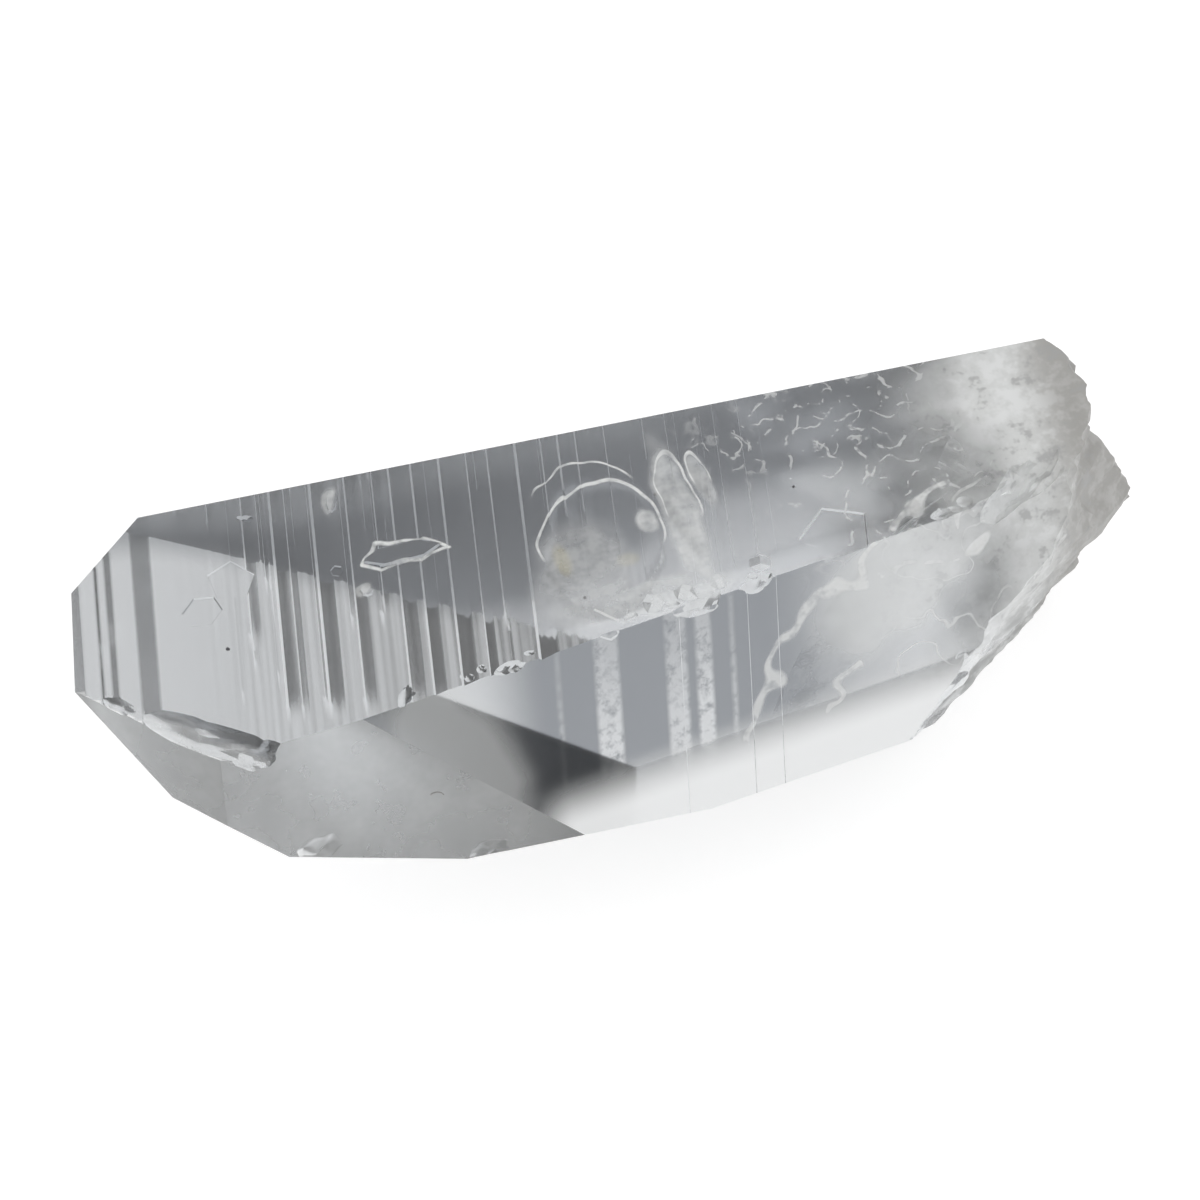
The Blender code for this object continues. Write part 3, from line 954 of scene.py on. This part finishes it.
def small_crystal(name, spot, length, width, turn, stand_out):
    """A little six-sided crystal with a point at each end, sunk into the top face."""
    tip = width * CRYSTAL_TIP_SHARE
    corner_radius = width / 2.0 / math.cos(math.pi / CRYSTAL_SIDES)
    body_length = (length - 2.0 * tip) * MM
    crystal = add_shape(
        name, "cylinder", vertices=CRYSTAL_SIDES, radius=corner_radius * MM, depth=body_length
    )
    bpy.ops.object.mode_set(mode="EDIT")
    bpy.ops.mesh.select_mode(type="FACE")
    bpy.ops.mesh.select_all(action="DESELECT")
    bpy.ops.object.mode_set(mode="OBJECT")
    for side in crystal.data.polygons:
        side.select = len(side.vertices) == CRYSTAL_SIDES
    bpy.ops.object.mode_set(mode="EDIT")
    bpy.ops.mesh.poke(offset=tip * MM)
    bpy.ops.mesh.select_mode(type="VERT")
    bpy.ops.object.mode_set(mode="OBJECT")
    lie = Matrix.Rotation(math.pi / 2, 4, "Y") @ Matrix.Rotation(math.pi / CRYSTAL_SIDES, 4, "Z")
    crystal.data.transform(turned(at(*spot, HEIGHT + width * (stand_out - 0.5)), turn) @ lie)
    return crystal


def plate_crystal(name, spot, length, width, sides, turn, tall):
    """A little crystal that shows only its flat top and the bevel round it."""
    plate = add_shape(name, "cone", vertices=sides, radius1=1.0, radius2=1.0, depth=2.0)
    points = points_of(plate)
    sizes = np.array((length / 2.0, width / 2.0))
    inner = 1.0 - PLATE_BEVEL / sizes
    top = points[:, 2] > 0.0
    points[:, :2] = np.column_stack((points[:, 1], points[:, 0])) * sizes
    points[top, :2] *= inner
    points[:, 2] = np.where(top, tall, -1.0)
    move_points(plate, points)
    plate.data.transform(turned(at(*spot, HEIGHT), turn) @ Matrix.Scale(MM, 4))
    edit_all()
    bpy.ops.mesh.normals_make_consistent(inside=False)
    bpy.ops.object.mode_set(mode="OBJECT")
    return plate


def shade_body(body):
    """Smooths the rounded breaks and keeps the natural faces flat."""
    mesh = body.data
    mesh.shade_smooth()
    mesh.set_sharp_from_angle(angle=SHARP_ANGLE)
    sharp = np.zeros(len(mesh.edges), bool)
    mesh.attributes["sharp_edge"].data.foreach_get("value", sharp)
    for face in mesh.polygons:
        if face.area > FLAT_FACE_AREA:
            for loop in face.loop_indices:
                sharp[mesh.loops[loop].edge_index] = True
    mesh.attributes["sharp_edge"].data.foreach_set("value", sharp)


def oval(x, y, centre, radii, turn):
    """A shader field: distance from a centre, counted in the radii of an ellipse."""
    lie = math.radians(turn)
    across = x - centre[0]
    along = y - centre[1]
    u = (across * math.cos(lie) + along * math.sin(lie)) * (1.0 / radii[0])
    v = (along * math.cos(lie) - across * math.sin(lie)) * (1.0 / radii[1])
    return (u * u + v * v) ** 0.5


def patch(x, y, centre, radii, turn, soft=PATCH_FADE):
    """A shader field: 1 inside an ellipse, fading to 0 round it."""
    return 1.0 - oval(x, y, centre, radii, turn).step(1.0 - soft, 1.0 + soft)


def arch(x, y, centre, radii, turn, width, low):
    """A shader field: 1 on the rim of an ellipse above a low end, 0 elsewhere."""
    off = ((oval(x, y, centre, radii, turn) - 1.0) * (radii[0] / width)).size()
    return (1.0 - off.step(*STEPS["rim"])) * y.step(low, low + ARCH_FADE)


def on_face(x, y, z, face):
    """A shader field: 1 on one natural face, 0 off it."""
    normal = direction(*face[:2])
    off = x * normal.x + y * normal.y + z * normal.z - face[2]
    return 1.0 - off.size().step(*STEPS["off_face"])


def highest(fields):
    """The largest of several shader fields."""
    top = None
    for field in fields:
        top = field if top is None else top.most(field)
    return top


def curls(tree, name, width):
    """A shader field of thin curly lines."""
    off = (tree.grain(name) - 0.5).size()
    return 1.0 - off.step(width * 0.4, width)


def ladder_place(x, y):
    """Distances along the ladder direction and across it, of numbers or of shader fields."""
    turn = math.radians(LADDER_TURN)
    return x * math.cos(turn) + y * math.sin(turn), y * math.cos(turn) - x * math.sin(turn)


def ladder_marks(tree, x, y):
    """Height of the fine ladder marks: lines across the crystal that come and go along their length."""
    s, t = ladder_place(x, y)
    height = 0.0
    for grain, stretch, share in MARK_LAYERS:
        place = tree.node("ShaderNodeCombineXYZ", None, {0: s * grain, 1: t * (grain * stretch), 2: 0.0})
        values = {"Vector": place, "Scale": 1.0, "Detail": 0.0}
        height = tree.node("ShaderNodeTexNoise", None, values, "Fac") * share + height
    reach = s.step(*STEPS["marks_start"]) * (1.0 - s.step(*STEPS["marks_end"]))
    return height * (reach * (1.0 - MARKS_LEFT) + MARKS_LEFT)


def bent_place(tree, x, y):
    """x and y with a soft random bend."""
    bend = (tree.grain("bend") - 0.5) * BEND
    return x + bend, y - bend


def root_wisps(tree, x, y):
    """Curly wisps near the root."""
    return curls(tree, "wisps", WISP_WIDTH) * (x + y * ROOT_LEAN).step(*STEPS["near_root"]) * WISP_STRENGTH


def top_haze(tree, x, y):
    """How milky the top face is, from 0 to 1: frosted patches, bright rims, wisps and cracks."""
    cloudy = (tree.grain("cloudy") * CLOUD_GAIN).clamp()
    bent = bent_place(tree, x, y)
    patches = highest(patch(*bent, *spot[:3]) * spot[3] for spot in HAZE_PATCHES) * cloudy
    rims = highest(arch(*bent, *rim) for rim in ARCHES) * ARCH_STRENGTH * cloudy
    wisps = root_wisps(tree, x, y) * cloudy.step(*STEPS["wisps"])
    inside = patch(x, y, *FINE_WISPS, FINE_WISP_FADE) * WISP_STRENGTH
    fine_wisps = curls(tree, "fine_wisps", FINE_WISP_WIDTH) * cloudy.step(*STEPS["fine_wisps"]) * inside
    return highest((patches, rims.clamp(), wisps, fine_wisps, crack_lines(tree, *bent, "top")))


def front_haze(tree, x, y, z):
    """How milky the front face is, from 0 to 1: its lower band, which is a painted highlight, wisps and
    cracks.
    """
    bent = bent_place(tree, x, y)
    patches = highest(patch(*bent, *spot[:3]) * spot[3] for spot in FRONT_PATCHES)
    low_front_highlight = (1.0 - z.step(*FRONT_BAND_HEIGHT)) * x.step(*FRONT_BAND_START) * FRONT_BAND_HIGHLIGHT
    return highest((patches, root_wisps(tree, x, y), low_front_highlight, crack_lines(tree, *bent, "front")))


def side_haze(tree, x, y, z):
    """How frosted the two lower faces that the photograph shows are."""
    faces = on_face(x, y, z, FRONT_TIP_FACE).most(on_face(x, y, z, SIDE_FACE))
    return faces * SIDE_FROST * (tree.grain("side_frost") * SIDE_FROST_RISE + SIDE_FROST_BASE)


def stroke(x, y, start, end):
    """A shader field: distance in millimetres from a straight line between two places, seen from above."""
    run = (end[0] - start[0], end[1] - start[1])
    length = math.hypot(*run)
    along = ((x - start[0]) * (run[0] / length) + (y - start[1]) * (run[1] / length)) * (1.0 / length)
    share = along.clamp()
    off_x = x - start[0] - share * run[0]
    off_y = y - start[1] - share * run[1]
    return (off_x * off_x + off_y * off_y) ** 0.5


def crack_lines(tree, x, y, part):
    """Thin bright lines where fractures reach the surface."""
    marks = []
    for line, width, strength in CRACKS[part]:
        for start, end in zip(line, line[1:]):
            marks.append((1.0 - stroke(x, y, start, end).step(width * LINE_CORE, width)) * strength)
    kept = tree.grain("cracks").step(*STEPS["cracks"]) * CRACK_BREAKS + (1.0 - CRACK_BREAKS)
    return highest(marks) * kept


def top_shade(x, y):
    """Painted shade on the top face: dark behind a line that follows the lower edge of its dark part."""
    dark = 0.0
    for start, end in zip(LIGHT_EDGE, LIGHT_EDGE[1:]):
        slope = (end[1] - start[1]) / (end[0] - start[0])
        behind = (y - start[1] - (x - start[0]) * slope).step(*STEPS["shade_edge"])
        begun, ended = (
            x.step(place - SHADE_OVERLAP, place + SHADE_OVERLAP) for place in (start[0], end[0])
        )
        dark = behind * begun * (1.0 - ended) + dark
    return dark.clamp() * TOP_SHADE


def front_shade(tree, x, y, z):
    """Painted shade on the front face: all but its lower band, its ends and its bright ladder bars, which
    stay unshaded.
    """
    s, _ = ladder_place(x, y)
    dark = z.step(*FRONT_BAND_HEIGHT) * x.step(*STEPS["front_shade_start"])
    dark = dark * (1.0 - x.step(*STEPS["front_shade_end"]))
    fade = BAR_GAIN - z.step(*STEPS["bar_height"]) * BAR_LOSS
    specks = tree.grain("bar_specks").step(*STEPS["bar_specks"]) * fade
    for low, high, strength in FRONT_BARS:
        begun, ended = (s.step(place - BAR_EDGE, place + BAR_EDGE) for place in (low, high))
        dark = dark * (1.0 - (begun * (1.0 - ended) * specks * strength).clamp())
    return dark


def milk_color(tree, settings, x, z):
    """Colour of the milky parts: mottled, greyer low down with painted shade, and greyer at the far end of
    the root.
    """
    shaded_low_cloud = tuple(LOW_MILK_SHADE * part for part in settings.cloud_color[:3]) + (1.0,)
    root_end = x.step(*STEPS["root_end"])
    milk = tree.mix_color(z.step(*STEPS["milk_shade_height"]), shaded_low_cloud, tuple(settings.cloud_color))
    milk = tree.mix_color(root_end, milk, tuple(settings.root_color))
    mottle = tree.grain("mottle")
    near_root = x.step(*STEPS["mottle"]) * MOTTLE
    pale = mottle.step(*STEPS["pale"]) * near_root * (1.0 - root_end * PALE_LOSS)
    dim = (1.0 - mottle.step(*STEPS["dim"])) * near_root
    return tree.mix_color(dim, tree.mix_color(pale, milk, MOTTLE_COLOR), DIM_COLOR)


def quartz_material(settings, part):
    """Clear quartz that turns milky towards the broken root, with the marks, painted shade and painted
    highlight of one part of the crystal.
    """
    material = bpy.data.materials.new("clear_quartz_" + part)
    tree = NodeTree(material)
    x, y, z = tree.layout_place()
    wander = (tree.grain("root_cloud") - 0.5) * CLOUD_WANDER
    cloud = (x + wander).step(*STEPS["root_cloud"]) * CLOUD_STRENGTH
    tint = tuple(settings.color)
    milk = milk_color(tree, settings, x, z)
    rough = settings.roughness
    if part == "top":
        cloud = cloud.most(top_haze(tree, x, y))
        # Painted shade: the top face's clear tint turns to the shade colour behind its light edge
        tint = tree.mix_color(top_shade(x, y), tint, tuple(settings.shade_color))
        for centre, radii, lie, color in STAINS:
            tint = tree.mix_color(patch(x, y, centre, radii, lie, STAIN_FADE), tint, color)
        relief = ladder_marks(tree, x, y)
        depth = settings.mark_depth
    elif part == "front":
        cloud = cloud.most(front_haze(tree, x, y, z))
        # Painted shade on the front face, lifted along its ladder bars
        tint = tree.mix_color(front_shade(tree, x, y, z), tint, tuple(settings.shade_color))
        # Painted highlight: the milky lower band of the front face turns near-white
        milk = tree.mix_color(1.0 - z.step(*FRONT_BAND_HEIGHT), milk, BAND_HIGHLIGHT_COLOR)
        relief = tree.grain("front_relief")
        depth = FACE_RELIEF
    else:
        cloud = cloud.most(side_haze(tree, x, y, z))
        relief = tree.grain("break_relief") * x.step(*STEPS["break_relief"])
        depth = BREAK_RELIEF
        rough = settings.frost
    bump = tree.node("ShaderNodeBump", None, {"Strength": 1.0, "Distance": depth, "Height": relief})
    surfaces = []
    for color, roughness, through in ((tint, rough, 1.0), (milk, MILK_ROUGHNESS, MILK_THROUGH)):
        values = {
            "Base Color": color,
            "Roughness": roughness,
            "IOR": settings.ior,
            "Transmission Weight": through,
            "Normal": bump,
        }
        surfaces.append(tree.node("ShaderNodeBsdfPrincipled", {"distribution": "GGX"}, values))
    mixed = tree.node("ShaderNodeMixShader", None, {0: cloud, 1: surfaces[0], 2: surfaces[1]})
    values = {"Color": tuple(settings.depth_color), "Density": settings.depth_loss}
    inside = tree.node("ShaderNodeVolumeAbsorption", None, values)
    tree.node("ShaderNodeOutputMaterial", None, {"Surface": mixed, "Volume": inside})
    return material


def dress_body(body, settings):
    """Gives the top, the front and the rest of the crystal their materials."""
    body.data.materials.clear()
    for part in ("top", "front", "side"):
        body.data.materials.append(quartz_material(settings, part))
    front = direction(*FRONT_FACE[:2])
    tip = direction(*FRONT_TIP_FACE[:2])
    level, near = FRONT_FIT
    for face in body.data.polygons:
        place = face.center / MM + LAYOUT_MIDDLE
        if face.normal.dot(front) > level and abs(place.dot(front) - FRONT_FACE[2]) < near:
            face.material_index = 1
        elif abs(place.dot(tip) - FRONT_TIP_FACE[2]) < TIP_FIT:
            face.material_index = 2
        elif face.center.z > TOP_REACH * MM:
            face.material_index = 0
        else:
            face.material_index = 2


class QUARTZ_OT_crystal(bpy.types.Operator):
    """Model the crystal with its ladder marks, chips, keys, small crystals and broken root"""

    bl_idname = "quartz.crystal"
    bl_label = "Crystal"

    def execute(self, context):
        body = plain_body()
        mark_top(body)
        mark_front(body)
        break_root(body)
        for name, shape in CHIPS.items():
            combine(body, chip_ball(name, *shape), "DIFFERENCE")
        for shape in ridge_nicks():
            combine(body, chip_ball("ridge_nick", *shape), "DIFFERENCE")
        for name, shape in KEYS.items():
            combine(body, key_block(name, *shape), "DIFFERENCE")
        for name, shape in SMALL_CRYSTALS.items():
            combine(body, small_crystal(name, *shape), "UNION")
        for name, shape in PLATE_CRYSTALS.items():
            combine(body, plate_crystal(name, *shape), "UNION")
        shade_body(body)
        dress_body(body, context.scene.quartz_body)
        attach(body, BODY)
        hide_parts(NODE)
        return {"FINISHED"}


def veil_material(strength):
    """A broken, silvery-white film that glows faintly, a painted light."""
    material = bpy.data.materials.new("fracture_veil")
    tree = NodeTree(material)
    around = tree.node("ShaderNodeUVMap", {"uv_map": "UVMap"})
    along = tree.node("ShaderNodeSeparateXYZ", None, {0: around}, "X")
    inward = tree.node("ShaderNodeSeparateXYZ", None, {0: around}, "Y")
    ends = along.step(*STEPS["veil_start"]) * (1.0 - along.step(*STEPS["veil_end"]))
    ends = ends * (1.0 - inward.step(*STEPS["veil_depth"]))
    places = {0: along * VEIL_STREAKS[0], 1: inward * VEIL_STREAKS[1], 2: strength}
    stretched = tree.node("ShaderNodeCombineXYZ", None, places)
    detail, roughness = VEIL_DETAIL
    values = {"Vector": stretched, "Scale": 1.0, "Detail": detail, "Roughness": roughness}
    streaks = tree.node("ShaderNodeTexNoise", None, values, "Fac").step(*STEPS["veil_streaks"])
    clouds = tree.grain("veil").step(*STEPS["veil_clouds"])
    rim = (1.0 - inward.step(*STEPS["veil_rim"])) * VEIL_RIM_SHARE
    film_cover = ends * (streaks * VEIL_STREAK_SHARE + clouds * VEIL_CLOUD_SHARE) * strength
    cover = film_cover.most(rim * ends * clouds)
    values = {
        "Base Color": VEIL_COLOR,
        "Roughness": VEIL_ROUGHNESS,
        "Alpha": cover,
        "Emission Color": VEIL_COLOR,
        "Emission Strength": VEIL_PAINTED_GLOW,
    }
    film = tree.node("ShaderNodeBsdfPrincipled", None, values)
    tree.node("ShaderNodeOutputMaterial", None, {"Surface": film})
    return material


def line_places(line, share):
    """Places along a line through a few points, at shares of its length from 0 to 1, with soft bends."""
    points = np.array(line)
    count = len(points) - 1
    place = share * count
    part = np.clip(place.astype(int), 0, count - 1)
    local = (place - part)[:, None]
    before = points[np.maximum(part - 1, 0)]
    after = points[np.minimum(part + 2, count)]
    start = points[part]
    end = points[part + 1]
    bend = -before + 3.0 * start - 3.0 * end + after
    lean = 2.0 * before - 5.0 * start + 4.0 * end - after
    return 0.5 * (2.0 * start + (end - before) * local + lean * local**2 + bend * local**3)


def add_veil(name, line, way, strength):
    """A wavy sheet that runs inward from its line."""
    sheet, column, row = sheet_grid(name, VEIL_COLUMNS, VEIL_ROWS)
    along = column / (VEIL_COLUMNS - 1)
    inward = row / (VEIL_ROWS - 1)
    places = line_places(line, along) + np.outer(inward, way)
    wave = np.array([noise.noise(Vector(place) * VEIL_WAVE_GRAIN) for place in places]) * VEIL_WAVE * inward
    normal = np.cross(np.array(line[-1]) - np.array(line[0]), way)
    places += np.outer(wave, normal / np.linalg.norm(normal))
    move_points(sheet, (places - np.array(LAYOUT_MIDDLE)) * MM)
    sheet.data.shade_smooth()
    sheet.data.materials.append(veil_material(strength))
    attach(sheet, BODY)


def plain_material(name, values, kind="ShaderNodeBsdfPrincipled"):
    material = bpy.data.materials.new(name)
    tree = NodeTree(material)
    tree.node("ShaderNodeOutputMaterial", None, {"Surface": tree.node(kind, None, values)})
    return material


def add_specks():
    """Small dark grains just under the top face, as one object."""
    dice = random.Random(SPECK_SEED)
    grains = []
    for centre, radius in SPECKS:
        grain = add_shape("dark_specks", "ico_sphere", subdivisions=2, radius=radius * MM)
        stretch = np.array([[dice.uniform(*SPECK_UNEVEN)] for _ in grain.data.vertices])
        move_points(grain, points_of(grain) * stretch + np.array(at(*centre)))
        grains.append(grain)
    deselect_all()
    for grain in grains:
        grain.select_set(True)
    bpy.context.view_layer.objects.active = grains[0]
    bpy.ops.object.join()
    values = {"Base Color": SPECK_COLOR, "Roughness": SPECK_ROUGHNESS}
    grains[0].data.materials.append(plain_material("speck", values))
    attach(grains[0], BODY)


def add_fibre():
    """A bent dust fibre that lies on the lower edge of the side face."""
    radius, length = FIBRE_RADIUS * MM, FIBRE_LENGTH * MM
    fibre = add_shape("dust_fibre", "cylinder", vertices=FIBRE_SIDES, radius=radius, depth=length)
    edit_all()
    for height in FIBRE_CUTS:
        bpy.ops.mesh.select_all(action="SELECT")
        bpy.ops.mesh.bisect(plane_co=(0.0, 0.0, height * MM), plane_no=(0.0, 0.0, 1.0))
    bpy.ops.object.mode_set(mode="OBJECT")
    points = points_of(fibre)
    points[:, 0] += FIBRE_BEND / MM * points[:, 2] ** 2
    move_points(fibre, points)
    normal = direction(*SIDE_FACE[:2])
    lift = at(*FIBRE_MIDDLE) + normal * radius
    lie = normal.to_track_quat("Y", "Z").to_matrix().to_4x4()
    fibre.data.transform(Matrix.Translation(lift) @ lie @ Matrix.Rotation(math.radians(FIBRE_TURN), 4, "Y"))
    fibre.data.shade_smooth()
    values = {"Base Color": DUST_COLOR, "Roughness": DUST_ROUGHNESS}
    fibre.data.materials.append(plain_material("dust", values))
    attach(fibre, BODY)


class QUARTZ_OT_flaws(bpy.types.Operator):
    """Add the fracture veils, the dark specks and the dust fibre"""

    bl_idname = "quartz.flaws"
    bl_label = "Flaws"

    def execute(self, context):
        for name, shape in VEILS.items():
            add_veil(name, *shape)
        add_specks()
        add_fibre()
        return {"FINISHED"}


def add_floor(settings):
    """A pale floor that glows, so that it also lights the crystal from below."""
    floor = add_shape("floor", "plane", size=FLOOR_SIZE, location=(0.0, 0.0, -settings.floor_gap))
    values = {
        "Base Color": tuple(settings.floor_color),
        "Roughness": FLOOR_ROUGHNESS,
        "Specular IOR Level": 0.0,
        "Emission Color": WHITE,
        "Emission Strength": settings.floor_glow,
    }
    floor.data.materials.append(plain_material("floor_paper", values))


def add_card(settings):
    """A dark card on the camera side, which the crystal reflects and the camera doesn't see."""
    card = add_shape("dark_card", "plane", size=1.0)
    card.visible_camera = False
    middle = Vector((0.0, -settings.card_distance, CARD_HEIGHT / 2 - settings.floor_gap))
    upright = Matrix.Translation(middle) @ Matrix.Rotation(math.pi / 2, 4, "X")
    card.data.transform(upright @ Matrix.Diagonal((CARD_WIDTH, CARD_HEIGHT, 1.0, 1.0)))
    values = {"Color": tuple(settings.card_color), "Strength": 1.0}
    card.data.materials.append(plain_material("dark_card", values, "ShaderNodeEmission"))


def add_sky(settings):
    """Soft studio light: bright above, less on the camera side, and dim beside and behind."""
    world = bpy.data.worlds.new("soft_studio")
    bpy.context.scene.world = world
    tree = NodeTree(world)
    way = tree.node("ShaderNodeTexCoord", output="Generated")
    depth = tree.node("ShaderNodeSeparateXYZ", None, {0: way}, "Y") * 0.5 + 0.5
    rise = tree.node("ShaderNodeSeparateXYZ", None, {0: way}, "Z")
    stops = (
        (0.0, settings.sky_front),
        (SKY_RISE_AT, settings.sky_front * SKY_RISE),
        (0.5, settings.sky_side),
        (1.0, settings.sky_back),
    )
    around = tree.node("ShaderNodeValToRGB", {"stops": stops}, {0: depth})
    above = (settings.sky_up,) * 3 + (1.0,)
    color = tree.mix_color(rise.step(*STEPS["sky"]), around, above)
    glow = tree.node("ShaderNodeBackground", None, {"Color": color, "Strength": 1.0})
    tree.node("ShaderNodeOutputWorld", None, {"Surface": glow})


def add_camera(settings):
    away = direction(math.degrees(settings.azimuth) - 90.0, math.degrees(settings.elevation))
    target = at(*CAMERA_AIM)
    lens = bpy.data.cameras.new("camera")
    lens.lens = settings.lens
    lens.sensor_width = SENSOR_WIDTH
    lens.clip_start = NEAREST_SEEN
    camera = bpy.data.objects.new("camera", lens)
    camera.location = target + away * settings.distance
    camera.rotation_euler = (-away).to_track_quat("-Z", "Y").to_euler()
    bpy.context.scene.collection.objects.link(camera)
    bpy.context.scene.camera = camera


class QUARTZ_OT_stage(bpy.types.Operator):
    """Set up the camera, the pale floor, the dark card and the soft light"""

    bl_idname = "quartz.stage"
    bl_label = "Stage"

    def execute(self, context):
        settings = context.scene.quartz_stage
        add_camera(settings)
        add_floor(settings)
        add_card(settings)
        add_sky(settings)
        scene = context.scene
        scene.view_settings.view_transform = "Standard"
        for limit in ("max_bounces", "transmission_bounces", "glossy_bounces", "transparent_max_bounces"):
            setattr(scene.cycles, limit, BOUNCES)
        return {"FINISHED"}


class QUARTZ_PT_looks(bpy.types.Panel):
    """Lists the pieces of the quartz point and its settings"""

    bl_label = "Quartz point"
    bl_space_type = "VIEW_3D"
    bl_region_type = "UI"
    bl_category = "Quartz"

    def draw(self, context):
        for operator in OPERATORS:
            self.layout.operator(operator.bl_idname)
        for settings in (context.scene.quartz_body, context.scene.quartz_stage):
            box = self.layout.box()
            for name in settings.__annotations__:
                box.prop(settings, name)


OPERATORS = (QUARTZ_OT_stage, QUARTZ_OT_crystal, QUARTZ_OT_flaws)
CLASSES = (BodySettings, StageSettings, *OPERATORS, QUARTZ_PT_looks)


def register():
    for item in CLASSES:
        bpy.utils.register_class(item)
    bpy.types.Scene.quartz_body = PointerProperty(type=BodySettings)
    bpy.types.Scene.quartz_stage = PointerProperty(type=StageSettings)


def unregister():
    del bpy.types.Scene.quartz_stage
    del bpy.types.Scene.quartz_body
    for item in reversed(CLASSES):
        bpy.utils.unregister_class(item)


def main():
    register()
    bpy.ops.quartz.stage()
    bpy.ops.quartz.crystal()
    bpy.ops.quartz.flaws()


if __name__ == "__main__":
    main()
